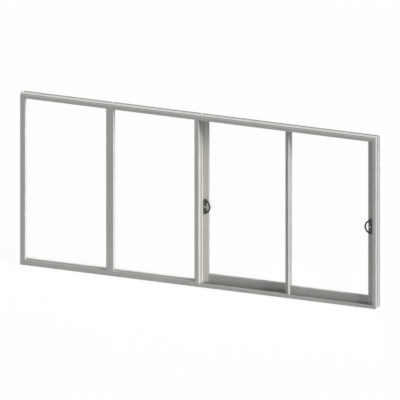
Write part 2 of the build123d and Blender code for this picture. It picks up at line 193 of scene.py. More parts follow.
class DoorUnitColours(bpy.types.PropertyGroup):
    """Colours of the finishes"""

    coat: shade("Powder coat", "Satin grey of the frame bars", (0.53, 0.53, 0.507))
    panel_coat: shade("Panel powder coat", "Grey of the door panels' bars", (0.53, 0.53, 0.507))
    # Paler copy of the coat: painted light, standing in for light bounced off the lit sides in the
    # door's left corner
    sheltered: shade("Sheltered coat", "Paler grey in the left corner", (0.635, 0.625, 0.578))
    bare: shade("Bare metal", "Aluminium that shows where the coat is rubbed", (0.70, 0.70, 0.69))
    dust: shade("Dust", "Dust on faces that look up and on the tracks", (0.40, 0.385, 0.35))
    track: shade("Track", "Mill finish of the two tracks", (0.60, 0.60, 0.59))
    glass: shade("Glass", "Tint of the panes", (0.995, 0.997, 0.994))
    spacer: shade("Spacer", "Bars between the panes", (0.42, 0.42, 0.42))
    vent: shade("Vent holes", "Pricked holes in the spacer bars", (0.02, 0.02, 0.02))
    rubber: shade("Rubber", "Stops in the head", (0.035, 0.035, 0.036))
    vinyl: shade("Vinyl", "Grey glazing gaskets", (0.55, 0.55, 0.53))
    pile: shade("Pile", "Brush strips", (0.16, 0.16, 0.165))
    pull: shade("Pull", "Dark bronze of the pulls", (0.028, 0.027, 0.025))
    plate: shade("Handle plate", "Bronze of the plates, a little lighter", (0.088, 0.084, 0.073))
    handle_rub: shade("Handle rub", "Where hands have worn the bronze", (0.085, 0.078, 0.066))
    turn: shade("Thumb turn", "Light satin metal of the thumb turns", (0.62, 0.61, 0.58))
    nylon: shade("Nylon", "Rollers, plugs and weep covers", (0.30, 0.30, 0.29))
    steel: shade("Steel", "Screw heads", (0.36, 0.355, 0.345))
    floor: shade("Floor", "Pale floor under the unit", (0.80, 0.80, 0.80))


class DoorUnitStage(bpy.types.PropertyGroup):
    """Camera and light"""

    azimuth: angle("Azimuth", "Camera's turn to the right", 20.4)
    elevation: angle("Elevation", "Camera's height angle", 19.8)
    view_width: length("View width", "Width of the parallel view", 4.4716)
    aim: coordinates("Aim", "Point in the middle of the view", (0.0003, 0.0, 1.0094))
    sun_from: coordinates("Sun from", "Direction to the main light", (0.85, -0.14, 0.51))
    sun_strength: amount("Sun", "Strength of the main light", 3.6)
    sun_spread: angle("Sun spread", "Softness of both lights", 12.0)
    fill_from: coordinates("Fill from", "Direction to the light behind", (-0.45, 0.75, 0.5))
    fill_strength: amount("Fill", "Strength of the light behind", 0.7)
    ambient: amount("Ambient", "Light from all round", 0.30)
    bounce: amount("Bounce", "Share of light the floor sends up", 0.42)
    whiteness: amount("Whiteness", "Share of plain white in the look of the floor", 0.95)


def unit_sizes():
    return bpy.context.scene.door_unit_sizes


def unit_colours():
    return bpy.context.scene.door_unit_colours


# Node helpers
def plug_in(tree, value, socket):
    """Link an output to a socket, or set a number or a colour on the socket itself."""
    if isinstance(value, bpy.types.NodeSocket):
        tree.links.new(value, socket)
    else:
        socket.default_value = (*value, 1.0) if socket.type == "RGBA" else value


def new_finish(name):
    """A material with one Principled shader, with its node tree and the surface's own place."""
    finish = bpy.data.materials.new(name)
    finish.use_nodes = True
    tree = finish.node_tree
    tree.nodes.clear()
    shader = tree.nodes.new("ShaderNodeBsdfPrincipled")
    output = tree.nodes.new("ShaderNodeOutputMaterial")
    tree.links.new(shader.outputs["BSDF"], output.inputs["Surface"])
    return finish, tree, shader, surface_place(tree)


def feed(tree, shader, looks):
    """Give a shader's inputs, by name, an output or a plain value."""
    for name, value in looks.items():
        plug_in(tree, value, shader.inputs[name])


def surface_place(tree):
    return tree.nodes.new("ShaderNodeTexCoord").outputs["Object"]


def upward(tree, vector):
    """The part of a vector that points up."""
    parts = tree.nodes.new("ShaderNodeSeparateXYZ")
    tree.links.new(vector, parts.inputs["Vector"])
    return parts.outputs["Z"]


def grain(tree, place, scale, detail=2.0, stretch=(1.0, 1.0, 1.0)):
    """Noise at a scale per metre, drawn out by stretch."""
    mapping = tree.nodes.new("ShaderNodeMapping")
    mapping.inputs["Scale"].default_value = stretch
    tree.links.new(place, mapping.inputs["Vector"])
    noise = tree.nodes.new("ShaderNodeTexNoise")
    noise.inputs["Scale"].default_value = scale
    noise.inputs["Detail"].default_value = detail
    tree.links.new(mapping.outputs["Vector"], noise.inputs["Vector"])
    return noise.outputs["Fac"]


def spread(tree, source, taken, given=(0.0, 1.0)):
    """Map the range taken of a value to the range given, clamped."""
    ranger = tree.nodes.new("ShaderNodeMapRange")
    for socket, value in zip(ranger.inputs[1:5], (*taken, *given)):
        socket.default_value = value
    tree.links.new(source, ranger.inputs["Value"])
    return ranger.outputs["Result"]


def combine(tree, how, first, second):
    """Math on two values, either of which may be a plain number."""
    math_node = tree.nodes.new("ShaderNodeMath")
    math_node.operation = how
    for socket, value in zip(math_node.inputs, (first, second)):
        plug_in(tree, value, socket)
    return math_node.outputs["Value"]


def mixed(tree, share, first, second):
    """Colour mixed by share. Each colour is a socket or three numbers."""
    mix = tree.nodes.new("ShaderNodeMix")
    mix.data_type = "RGBA"
    tree.links.new(share, mix.inputs[0])
    for socket, value in ((mix.inputs[6], first), (mix.inputs[7], second)):
        plug_in(tree, value, socket)
    return mix.outputs[2]


def scaled(colour, factor):
    return tuple(min(1.0, channel * factor) for channel in colour)


def toned(tree, share, colour, start, end):
    """A colour that goes by share from one tone of itself to another."""
    return mixed(tree, share, scaled(colour, start), scaled(colour, end))


def bumped(tree, height, distance, strength, normal=None):
    bump = tree.nodes.new("ShaderNodeBump")
    bump.inputs["Distance"].default_value = distance
    bump.inputs["Strength"].default_value = strength
    tree.links.new(height, bump.inputs["Height"])
    if normal is not None:
        tree.links.new(normal, bump.inputs["Normal"])
    return bump.outputs["Normal"]


def rounded_edges(tree, radius):
    """The normal over a softened edge, and a mask that is 1 along the edge."""
    bevel = tree.nodes.new("ShaderNodeBevel")
    bevel.samples = 6
    bevel.inputs["Radius"].default_value = radius
    facing = tree.nodes.new("ShaderNodeNewGeometry")
    dot = tree.nodes.new("ShaderNodeVectorMath")
    dot.operation = "DOT_PRODUCT"
    tree.links.new(bevel.outputs["Normal"], dot.inputs[0])
    tree.links.new(facing.outputs["True Normal"], dot.inputs[1])
    return bevel.outputs["Normal"], spread(tree, dot.outputs["Value"], (0.98, 0.80))


def facing_up(tree):
    """1 on faces that look up, 0 on the rest."""
    facing = tree.nodes.new("ShaderNodeNewGeometry")
    return spread(tree, upward(tree, facing.outputs["True Normal"]), (0.6, 0.95))


# Finishes
def powder_coat(name, colour, run, soiled=None):
    """Satin powder coat on an extrusion drawn along the axis run, LEVEL or UPRIGHT.

    The last argument gives the heights between which painted shade darkens it, more towards the
    lower one, for the shade low on the bottom rails behind the sill's lip.
    """
    colours = unit_colours()
    finish, tree, shader, place = new_finish(name)
    along = [1.0, 1.0, 1.0]
    along[run] = 0.004
    die_lines = grain(tree, place, scale=320.0, detail=3.0, stretch=along)
    speckle = grain(tree, place, scale=1500.0)
    cloud = grain(tree, place, scale=2.4, detail=4.0)
    fine_part = combine(tree, "MULTIPLY", die_lines, 0.35)
    broad_part = combine(tree, "MULTIPLY", cloud, 0.65)
    depth = combine(tree, "ADD", fine_part, broad_part)
    base = toned(tree, spread(tree, depth, NARROW_SPAN), colour, 0.965, 1.035)
    pale_specks = spread(tree, speckle, (0.62, 0.74), (0.0, 0.30))
    base = mixed(tree, pale_specks, base, scaled(colour, 1.14))
    dark_specks = spread(tree, speckle, (0.38, 0.27), (0.0, 0.22))
    base = mixed(tree, dark_specks, base, scaled(colour, 0.84))
    patches = spread(tree, grain(tree, place, scale=9.0, detail=5.0), (0.45, 0.75), (0.0, 0.30))
    settled = combine(tree, "MULTIPLY", facing_up(tree), patches)
    base = mixed(tree, settled, base, colours.dust)
    # Painted shade: the coat darkens towards the lower height, with streaky variation, for the
    # shade low on the bottom rails behind the sill's lip
    if soiled:
        low_shade = spread(tree, upward(tree, place), soiled, (0.56, 0.27))
        shade_streak_noise = grain(tree, place, scale=14.0, detail=5.0, stretch=(1.0, 1.0, 0.3))
        shade_streaks = spread(tree, shade_streak_noise, WIDE_SPAN, (0.88, 1.12))
        base = mixed(tree, combine(tree, "MULTIPLY", low_shade, shade_streaks), base, scaled(colour, 0.5))
    edge_normal, edge = rounded_edges(tree, unit_sizes().edge_round)
    knocks = spread(tree, grain(tree, place, scale=26.0, detail=6.0), (0.48, 0.66), (0.05, 0.55))
    rub = combine(tree, "MULTIPLY", edge, knocks)
    lines = bumped(tree, die_lines, distance=0.00025, strength=0.10, normal=edge_normal)
    feed(tree, shader, {
        "Base Color": mixed(tree, rub, base, colours.bare),
        "Roughness": spread(tree, speckle, WIDE_SPAN, (0.40, 0.54)),
        "Normal": bumped(tree, speckle, distance=0.00020, strength=0.16, normal=lines),
    })
    return finish


def mill_track(name):
    """Mill-finish aluminium, bright along the top where the rollers run and grimy in the foot."""
    colours = unit_colours()
    finish, tree, shader, place = new_finish(name)
    drawn = grain(tree, place, scale=380.0, detail=4.0, stretch=(0.005, 1.0, 1.0))
    base = toned(tree, spread(tree, drawn, WIDE_SPAN), colours.track, 0.86, 1.08)
    patches = grain(tree, place, scale=34.0, detail=5.0, stretch=(0.3, 1.0, 1.0))
    low = spread(tree, upward(tree, place), (0.020, 0.030), (0.75, 0.05))
    grime = combine(tree, "MULTIPLY", low, spread(tree, patches, NARROW_SPAN, (0.2, 1.0)))
    base = mixed(tree, grime, base, scaled(colours.dust, 0.6))
    edge_normal, edge = rounded_edges(tree, unit_sizes().track_round)
    feed(tree, shader, {
        "Base Color": mixed(tree, combine(tree, "MULTIPLY", edge, 0.6), base, colours.bare),
        "Metallic": 0.85,
        "Roughness": spread(tree, drawn, WIDE_SPAN, (0.26, 0.46)),
        "Normal": bumped(tree, drawn, distance=0.0002, strength=0.18, normal=edge_normal),
    })
    return finish


def pane_glass(name):
    """Clear float glass with a faint draw and a few smears."""
    finish, tree, shader, place = new_finish(name)
    patches = spread(tree, grain(tree, place, scale=1.6, detail=3.0), NARROW_SPAN)
    smear = grain(tree, place, scale=7.0, detail=6.0, stretch=(1.0, 1.0, 0.35))
    draw = grain(tree, place, scale=1.1, detail=1.0, stretch=(1.0, 1.0, 0.2))
    feed(tree, shader, {
        "Base Color": toned(tree, patches, unit_colours().glass, 1.0, 1.01),
        "Roughness": spread(tree, smear, (0.55, 0.80), (0.0, 0.03)),
        "Normal": bumped(tree, draw, distance=0.0015, strength=0.05),
        "Transmission Weight": 1.0,
        "IOR": 1.5,
    })
    return finish


def spacer_bar(name):
    """Dull rolled spacer bar with rows of vent holes."""
    colours = unit_colours()
    finish, tree, shader, place = new_finish(name)
    rolled = grain(tree, place, scale=240.0, detail=3.0)
    base = toned(tree, spread(tree, rolled, WIDE_SPAN), colours.spacer, 0.85, 1.1)
    holes = tree.nodes.new("ShaderNodeTexVoronoi")
    holes.inputs["Scale"].default_value = 260.0
    tree.links.new(place, holes.inputs["Vector"])
    pricks = spread(tree, holes.outputs["Distance"], (0.10, 0.16), (0.8, 0.0))
    feed(tree, shader, {
        "Base Color": mixed(tree, pricks, base, colours.vent),
        "Metallic": 0.7,
        "Roughness": spread(tree, rolled, WIDE_SPAN, (0.45, 0.62)),
        "Normal": bumped(tree, rolled, distance=0.0002, strength=0.15),
    })
    return finish


def moulded_rubber(name, colour, chalked):
    """Moulded rubber or vinyl, chalked to a paler tone where it has weathered."""
    finish, tree, shader, place = new_finish(name)
    chalk = spread(tree, grain(tree, place, scale=60.0, detail=5.0), (0.45, 0.75), (0.0, 0.5))
    fine = grain(tree, place, scale=1100.0)
    feed(tree, shader, {
        "Base Color": toned(tree, chalk, colour, 1.0, chalked),
        "Roughness": spread(tree, fine, WIDE_SPAN, (0.55, 0.75)),
        "Normal": bumped(tree, fine, distance=0.0002, strength=0.25),
    })
    return finish


def brush_pile(name):
    """Short woven pile, its tufts drawn out away from the lip."""
    finish, tree, shader, place = new_finish(name)
    tufts = grain(tree, place, scale=900.0, detail=3.0, stretch=(1.0, 0.12, 1.0))
    share = spread(tree, tufts, NARROW_SPAN)
    feed(tree, shader, {
        "Base Color": toned(tree, share, unit_colours().pile, 0.45, 1.5),
        "Roughness": 0.95,
        "Sheen Weight": 0.25,
        "Normal": bumped(tree, tufts, distance=0.0008, strength=0.7),
    })
    return finish


def bronze_enamel(name, colour):
    """Bronze enamel, rubbed towards brass on the edges that hands meet."""
    finish, tree, shader, place = new_finish(name)
    mottle = grain(tree, place, scale=70.0, detail=5.0)
    fine = grain(tree, place, scale=1300.0)
    base = toned(tree, spread(tree, mottle, NARROW_SPAN), colour, 0.8, 1.3)
    edge_normal, edge = rounded_edges(tree, unit_sizes().handle_round)
    worn = combine(tree, "MULTIPLY", edge, spread(tree, mottle, (0.42, 0.62), (0.15, 0.9)))
    feed(tree, shader, {
        "Base Color": mixed(tree, worn, base, unit_colours().handle_rub),
        "Metallic": 0.35,
        "Roughness": spread(tree, mottle, WIDE_SPAN, (0.42, 0.58)),
        "Normal": bumped(tree, fine, distance=0.00015, strength=0.14, normal=edge_normal),
    })
    return finish


def satin_metal(name, colour, metal):
    """Satin metal with fine turned scratches, for the thumb turns and the screws."""
    finish, tree, shader, place = new_finish(name)
    scratches = grain(tree, place, scale=700.0, detail=4.0, stretch=(1.0, 1.0, 0.15))
    cloud = grain(tree, place, scale=90.0, detail=4.0)
    base = toned(tree, spread(tree, cloud, NARROW_SPAN), colour, 0.88, 1.08)
    edge_normal, edge = rounded_edges(tree, unit_sizes().turn_round)
    bright_edge = combine(tree, "MULTIPLY", edge, 0.5)
    feed(tree, shader, {
        "Base Color": mixed(tree, bright_edge, base, scaled(colour, 1.3)),
        "Metallic": metal,
        "Roughness": spread(tree, scratches, WIDE_SPAN, (0.28, 0.46)),
        "Normal": bumped(tree, scratches, distance=0.0001, strength=0.2, normal=edge_normal),
    })
    return finish


def moulded_nylon(name):
    """Moulded nylon with a dull skin and a little track dust."""
    colours = unit_colours()
    finish, tree, shader, place = new_finish(name)
    skin = grain(tree, place, scale=420.0, detail=4.0)
    dust = spread(tree, grain(tree, place, scale=120.0, detail=5.0), (0.45, 0.7), (0.0, 0.6))
    base = toned(tree, spread(tree, skin, WIDE_SPAN), colours.nylon, 0.9, 1.1)
    feed(tree, shader, {
        "Base Color": mixed(tree, dust, base, scaled(colours.dust, 0.7)),
        "Roughness": spread(tree, skin, WIDE_SPAN, (0.42, 0.6)),
        "Normal": bumped(tree, skin, distance=0.0002, strength=0.15),
    })
    return finish


def finish_named(name, make, *values, **named):
    """The finish of that name, made the first time that it is asked for."""
    return bpy.data.materials.get(name) or make(name, *values, **named)


def rubber():
    colour = tuple(unit_colours().rubber)
    return finish_named("black_rubber", moulded_rubber, colour, chalked=2.6)


def vinyl():
    colour = tuple(unit_colours().vinyl)
    return finish_named("grey_vinyl", moulded_rubber, colour, chalked=1.12)


def steel():
    return finish_named("screw_steel", satin_metal, tuple(unit_colours().steel), metal=0.8)


def nylon():
    return finish_named("moulded_nylon", moulded_nylon)


# Paler copy of the coat: painted light for the light bounced into the door's left corner
def sheltered_coat():
    colour = tuple(unit_colours().sheltered)
    return finish_named("sheltered_coat", powder_coat, colour, run=UPRIGHT)


def dress(nodes, finish):
    """Give CAD nodes a finish."""
    for name in nodes:
        slots = frame["nodes"][name].material_slots
        if not slots:
            raise RuntimeError(f"{name} has no material slot")
        for material_slot in slots:
            material_slot.link = "OBJECT"
            material_slot.material = finish


# Mesh helpers
def join_rows(bm, rows):
    for first, second in zip(rows, rows[1:]):
        for i, vertex in enumerate(first):
            after = (i + 1) % len(first)
            bm.faces.new((vertex, first[after], second[after], second[i]))


def add_ring(bm, x_low, x_high, z_low, z_high, section):
    """A mitred ring round an opening. Each point of its section is (inward, y)."""
    corners = (
        (x_low, z_low, 1, 1),
        (x_high, z_low, -1, 1),
        (x_high, z_high, -1, -1),
        (x_low, z_high, 1, -1),
    )
    rows = [
        [bm.verts.new((x + inward * way_x, y, z + inward * way_z)) for inward, y in section]
        for x, z, way_x, way_z in corners
    ]
    join_rows(bm, rows + rows[:1])


def add_swept(bm, rows_of_points):
    """A closed solid through rows of points, with a face over each end."""
    rows = [[bm.verts.new(point) for point in row] for row in rows_of_points]
    join_rows(bm, rows)
    bm.faces.new(rows[0])
    bm.faces.new(rows[-1])


def add_turned(bm, centre, out, profile, lobes=4, steps=24):
    """A turned solid. Each ring is (radius, height, lobe), where lobe gives a cross recess."""
    across = out.orthogonal().normalized()
    beside = out.cross(across)
    rows = []
    for radius, height, lobe in profile:
        row = []
        for i in range(steps):
            turn = 2 * math.pi * i / steps
            reach = radius * (1 + lobe * math.cos(lobes * turn))
            flat = across * reach * math.cos(turn) + beside * reach * math.sin(turn)
            row.append(centre + flat + out * height)
        rows.append(row)
    add_swept(bm, rows)


def head_profile(shape, radius, height):
    """Rings of a turned head, from its foot under the surface to the floor of its recess."""
    rings = [(radius * wide, height * tall, lobe) for wide, tall, lobe in shape]
    return [(radius, -SUNK, 0.0)] + rings


def screw_profile(sizes):
    return head_profile(PAN_HEAD, sizes.screw_radius, sizes.screw_height)


def gasket_section(shape, show, depth, face, way):
    """A gasket's section on a face of the glass that looks along way, 1 or -1 in Y."""
    return [(show * inward, face + way * depth * out) for inward, out in shape]


def bow(reach, half):
    """Centre, radius and half angle of the arc through (0, half), (reach, 0) and (0, -half)."""
    centre = (reach * reach - half * half) / (2 * reach)
    return centre, reach - centre, math.atan2(half, -centre)


def squared(value):
    """A cosine or sine drawn out towards the corners of a square."""
    return math.copysign(abs(value) ** PULL_SQUARENESS, value)


def pull_rows(foot, inward, low, high, sizes):
    """Sections along a pull that bows inward, 1 or -1 in X, from its lower foot to its upper."""
    reach = high.x - low.x
    half = (high.z - low.z) / 2
    middle_z = (high.z + low.z) / 2
    thickness = high.y - low.y
    arcs = bow(reach, half), bow(reach - sizes.pull_bar, half - sizes.pull_bar)
    rows = []
    for i in range(PULL_STATIONS + 1):
        along = -1 + 2 * i / PULL_STATIONS
        outer, inner = (
            Vector((centre + radius * math.cos(along * turn), radius * math.sin(along * turn)))
            for centre, radius, turn in arcs
        )
        middle, side = (outer + inner) / 2, (outer - inner) / 2
        to_end = min(1.0, (1 - abs(along)) * half / PULL_CLOSING)
        close = math.sqrt(max(PULL_END_FACE, 1 - (1 - to_end) ** 2))
        thin = thickness - sizes.pull_thinning * (1 - abs(along) ** 3)
        lean = (1 - close) * (thickness - thin / 2 - PULL_SEAT) * 0.5
        row = []
        for j in range(PULL_POINTS):
            turn = 2 * math.pi * j / PULL_POINTS
            place = middle + side * (squared(math.cos(turn)) * close)
            y = low.y + thin / 2 + squared(math.sin(turn)) * close * thin / 2 + lean
            row.append((foot + inward * place.x, y, middle_z + place.y))
        rows.append(row)
    return rows


def as_piece(name, bm, body, finish):
    """Turn a bmesh into a piece that rides on a body."""
    bmesh.ops.recalc_face_normals(bm, faces=bm.faces)
    for face in bm.faces:
        face.smooth = True
    for edge in bm.edges:
        edge.smooth = len(edge.link_faces) == 2 and edge.calc_face_angle() < SHARP_ANGLE
    mesh = bpy.data.meshes.new(name)
    bm.to_mesh(mesh)
    bm.free()
    mesh.materials.append(finish)
    piece = bpy.data.objects.new(name, mesh)
    bpy.context.scene.collection.objects.link(piece)
    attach(piece, body)
    return piece


# Stage helpers
def seen_rays(tree):
    """1 for rays from the camera, from gloss and through glass."""
    rays = tree.nodes.new("ShaderNodeLightPath")
    seen = combine(tree, "MAXIMUM", rays.outputs["Is Camera Ray"], rays.outputs["Is Glossy Ray"])
    return combine(tree, "MAXIMUM", seen, rays.outputs["Is Transmission Ray"])


def either(tree, share, first, second):
    """One shader or the other, mixed by share."""
    mix = tree.nodes.new("ShaderNodeMixShader")
    plug_in(tree, share, mix.inputs["Fac"])
    tree.links.new(first, mix.inputs[1])
    tree.links.new(second, mix.inputs[2])
    return mix.outputs["Shader"]


def lay_floor(colour, stage):
    """A wide pale floor that looks white, keeps a faint shadow and sends a little light up."""
    finish = bpy.data.materials.new("pale_floor")
    finish.use_nodes = True
    tree = finish.node_tree
    tree.nodes.clear()
    tone = spread(tree, grain(tree, surface_place(tree), scale=3.0, detail=4.0), WIDE_SPAN)
    shadowed = tree.nodes.new("ShaderNodeBsdfDiffuse")
    plug_in(tree, toned(tree, tone, colour, 0.995, 1.005), shadowed.inputs["Color"])
    white = tree.nodes.new("ShaderNodeEmission")
    white.inputs["Strength"].default_value = 1.0
    sends = tree.nodes.new("ShaderNodeBsdfDiffuse")
    plug_in(tree, scaled(WHITE, stage.bounce), sends.inputs["Color"])
    looks = either(tree, stage.whiteness, shadowed.outputs["BSDF"], white.outputs["Emission"])
    whole = either(tree, seen_rays(tree), sends.outputs["BSDF"], looks)
    output = tree.nodes.new("ShaderNodeOutputMaterial")
    tree.links.new(whole, output.inputs["Surface"])
    bm = bmesh.new()
    bmesh.ops.create_grid(bm, x_segments=8, y_segments=8, size=FLOOR_HALF)
    mesh = bpy.data.meshes.new("pale_floor")
    bm.to_mesh(mesh)
    bm.free()
    mesh.materials.append(finish)
    floor = bpy.data.objects.new("pale_floor", mesh)
    floor.location.z = cad_box[0].z - FLOOR_GAP
    bpy.context.scene.collection.objects.link(floor)


def light_round(stage):
    """Even light from all round, and white where the surround is seen."""
    world = bpy.data.worlds.new("soft_surround")
    world.use_nodes = True
    tree = world.node_tree
    tree.nodes.clear()
    surrounds = []
    for strength in (stage.ambient, 1.0):
        surround = tree.nodes.new("ShaderNodeBackground")
        feed(tree, surround, {"Strength": strength, "Color": WHITE})
        surrounds.append(surround.outputs["Background"])
    output = tree.nodes.new("ShaderNodeOutputWorld")
    tree.links.new(either(tree, seen_rays(tree), *surrounds), output.inputs["Surface"])
    bpy.context.scene.world = world


def hang_sun(name, towards, strength, softness):
    lamp = bpy.data.lights.new(name, "SUN")
    lamp.energy = strength
    lamp.angle = softness
    holder = bpy.data.objects.new(name, lamp)
    holder.rotation_euler = towards.to_track_quat("Z", "Y").to_euler()
    holder.location = towards * LAMP_DISTANCE
    bpy.context.scene.collection.objects.link(holder)


def set_camera(stage):
    """A parallel view of the unit from the room side."""
    turn, rise = stage.azimuth, stage.elevation
    level = math.cos(rise)
    back = Vector((math.sin(turn) * level, -math.cos(turn) * level, math.sin(rise)))
    camera = bpy.data.cameras.new("view_camera")
    camera.type = "ORTHO"
    camera.ortho_scale = stage.view_width
    camera.clip_end = CAMERA_REACH
    holder = bpy.data.objects.new("view_camera", camera)
    holder.location = Vector(stage.aim) + back * CAMERA_DISTANCE
    holder.rotation_euler = back.to_track_quat("Z", "Y").to_euler()
    bpy.context.scene.collection.objects.link(holder)
    bpy.context.scene.camera = holder


# Operators, one for each piece or group of like pieces
class DOORUNIT_OT_dress_frame(bpy.types.Operator):
    """Powder coat the fixed frame's jambs, heads, sills, beads, stops and sub-sill"""

    bl_idname = "door_unit.dress_frame"
    bl_label = "Powder Coat the Frame"

    def execute(self, context):
        colour = tuple(context.scene.door_unit_colours.coat)
        level_bars = ("head", "sill", "sill_bead", "outside_stops")
        uprights = [f"{lite}_{side}_jamb" for lite in LITES for side in ("left", "right")]
        uprights += ["door_right_jamb"]
        levels = [f"{lite}_{bar}" for lite in LITES for bar in level_bars]
        levels += ["door_head", "door_sill", "sub_sill"]
        dress(uprights, finish_named("frame_coat_upright", powder_coat, colour, run=UPRIGHT))
        dress(levels, finish_named("frame_coat_level", powder_coat, colour, run=LEVEL))
        # The door's left jamb gets the paler coat: painted light, for light bounced off the lit
        # sides nearby
        dress(["door_left_jamb"], sheltered_coat())
        return {"FINISHED"}


class DOORUNIT_OT_dress_panels(bpy.types.Operator):
    """Powder coat the door panels' stiles and rails"""

    bl_idname = "door_unit.dress_panels"
    bl_label = "Powder Coat the Panels"

    def execute(self, context):
        colour = tuple(context.scene.door_unit_colours.panel_coat)
        stiles = ["left_panel_interlock_stile", "right_panel_lock_stile"]
        stiles += ["right_panel_interlock_stile"]
        low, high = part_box("left_panel_bottom_rail")
        heights = (low.z, high.z)
        upright = finish_named("panel_coat_upright", powder_coat, colour, run=UPRIGHT)
        level = finish_named("panel_coat_level", powder_coat, colour, run=LEVEL)
        # The bottom rails get painted shade, darker towards their foot, between these heights
        soiled = finish_named("panel_coat_soiled", powder_coat, colour, run=LEVEL, soiled=heights)
        dress(stiles, upright)
        # The left panel's lock stile gets the paler coat: painted light, for light bounced off the
        # lit sides nearby
        dress(["left_panel_lock_stile"], sheltered_coat())
        dress([f"{panel}_top_rail" for panel in PANELS], level)
        dress([f"{panel}_bottom_rail" for panel in PANELS], soiled)
        return {"FINISHED"}


class DOORUNIT_OT_dress_tracks(bpy.types.Operator):
    """Leave the tracks in mill finish and give the rollers their nylon"""

    bl_idname = "door_unit.dress_tracks"
    bl_label = "Finish Tracks and Rollers"

    def execute(self, context):
        dress(("front_track", "rear_track"), finish_named("mill_track", mill_track))
        dress([f"{panel}_rollers" for panel in PANELS], nylon())
        return {"FINISHED"}


class DOORUNIT_OT_dress_glass(bpy.types.Operator):
    """Clear panes that let the lamps through, and the spacer bars between them"""

    bl_idname = "door_unit.dress_glass"
    bl_label = "Finish the Glass"

    def execute(self, context):
        panes = [f"{unit}_glass" for unit in LITES + PANELS]
        dress(panes, finish_named("pane_glass", pane_glass))
        for name in panes:
            frame["nodes"][name].visible_shadow = False
        dress([f"{name}_spacer" for name in panes], finish_named("spacer_bar", spacer_bar))
        return {"FINISHED"}


class DOORUNIT_OT_dress_handles(bpy.types.Operator):
    """Bronze on the handle plates and light satin metal on the thumb turns"""

    bl_idname = "door_unit.dress_handles"
    bl_label = "Finish the Handle Plates"

    def execute(self, context):
        colours = context.scene.door_unit_colours
        bronze = finish_named("plate_bronze", bronze_enamel, tuple(colours.plate))
        satin = finish_named("turn_metal", satin_metal, tuple(colours.turn), metal=0.2)
        dress([f"{panel}_handle_plate" for panel in PANELS], bronze)
        dress([f"{panel}_thumb_turn" for panel in PANELS], satin)
        return {"FINISHED"}


class DOORUNIT_OT_make_lite_gaskets(bpy.types.Operator):
    """Wedge gaskets on both sides of the fixed lites' glass"""

    bl_idname = "door_unit.make_lite_gaskets"
    bl_label = "Lite Gaskets"

    def execute(self, context):
        sizes = context.scene.door_unit_sizes
        show, depth = sizes.gasket_show, sizes.gasket_depth
        bead = Vector((sizes.bead_width, 0.0, sizes.bead_width))
        for lite in LITES:
            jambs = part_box(f"{lite}_left_jamb"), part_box(f"{lite}_right_jamb")
            room_low = Vector((jambs[0][1].x, 0.0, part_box(f"{lite}_sill_bead")[1].z))
            room_high = Vector((jambs[1][0].x, 0.0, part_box(f"{lite}_head")[0].z))
            stops_low, stops_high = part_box(f"{lite}_outside_stops")
            glass_low, glass_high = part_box(f"{lite}_glass")
            for side, face, way, low, high in (
                ("room", glass_low.y, -1, room_low, room_high),
                ("outside", glass_high.y, 1, stops_low + bead, stops_high - bead),
            ):
                section = gasket_section(WEDGE_GASKET, show, depth, face, way)
                bm = bmesh.new()
                add_ring(bm, low.x, high.x, low.z, high.z, section)
                as_piece(f"{lite}_{side}_gasket", bm, "frame", vinyl())
        return {"FINISHED"}


class DOORUNIT_OT_make_panel_gaskets(bpy.types.Operator):
    """Channel gaskets round the door panels' glass, on both sides"""

    bl_idname = "door_unit.make_panel_gaskets"
    bl_label = "Panel Gaskets"

    def execute(self, context):
        sizes = context.scene.door_unit_sizes
        show, depth = sizes.gasket_show, sizes.panel_gasket_depth
        for panel in PANELS:
            stiles = [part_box(f"{panel}_{bar}_stile") for bar in ("lock", "interlock")]
            stiles.sort(key=lambda box: box[0].x)
            x_low, x_high = stiles[0][1].x, stiles[1][0].x
            z_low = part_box(f"{panel}_bottom_rail")[1].z
            z_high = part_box(f"{panel}_top_rail")[0].z
            glass_low, glass_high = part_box(f"{panel}_glass")
            bm = bmesh.new()
            for face, way in ((glass_low.y, -1), (glass_high.y, 1)):
                section = gasket_section(CHANNEL_GASKET, show, depth, face, way)
                add_ring(bm, x_low, x_high, z_low, z_high, section)
            as_piece(f"{panel}_gasket", bm, panel, vinyl())
        return {"FINISHED"}


class DOORUNIT_OT_make_pile_strips(bpy.types.Operator):
    """Pile strips behind the door frame's right lip and head lip"""

    bl_idname = "door_unit.make_pile_strips"
    bl_label = "Pile Strips"

    def execute(self, context):
        sizes = context.scene.door_unit_sizes
        width, depth = sizes.pile_width, sizes.pile_depth
        head_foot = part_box("door_head")[0].z
        sill_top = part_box("door_sill")[1].z
        left_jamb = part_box("door_left_jamb")[1].x
        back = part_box("right_panel_lock_stile")[0].y - sizes.pile_seat
        x_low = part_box("door_right_jamb")[0].x + sizes.pile_margin
        z_low = head_foot + sizes.pile_margin
        upright = [
            [(x_low + u * width, back + v * depth, z) for u, v in PILE_STRIP]
            for z in (sill_top, head_foot)
        ]
        level = [
            [(x, back + v * depth, z_low + u * width) for u, v in PILE_STRIP]
            for x in (left_jamb, x_low)
        ]
        for name, rows in (("jamb_pile", upright), ("head_pile", level)):
            bm = bmesh.new()
            add_swept(bm, rows)
            as_piece(name, bm, "frame", finish_named("brush_pile", brush_pile))
        return {"FINISHED"}


class DOORUNIT_OT_make_pulls(bpy.types.Operator):
    """Bowed pulls with a rounded bar, in place of the plain solids"""

    bl_idname = "door_unit.make_pulls"
    bl_label = "Pulls"

    def execute(self, context):
        sizes, colours = context.scene.door_unit_sizes, context.scene.door_unit_colours
        finish = finish_named("pull_bronze", bronze_enamel, tuple(colours.pull))
        for panel in PANELS:
            low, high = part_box(f"{panel}_pull")
            plate_low, plate_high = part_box(f"{panel}_handle_plate")
            inward = 1 if low.x > (plate_low.x + plate_high.x) / 2 else -1
            foot = low.x if inward > 0 else high.x
            bm = bmesh.new()
            add_swept(bm, pull_rows(foot, inward, low, high, sizes))
            piece = as_piece(f"{panel}_bowed_pull", bm, panel, finish)
            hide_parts(f"{panel}_pull")
        return {"FINISHED"}


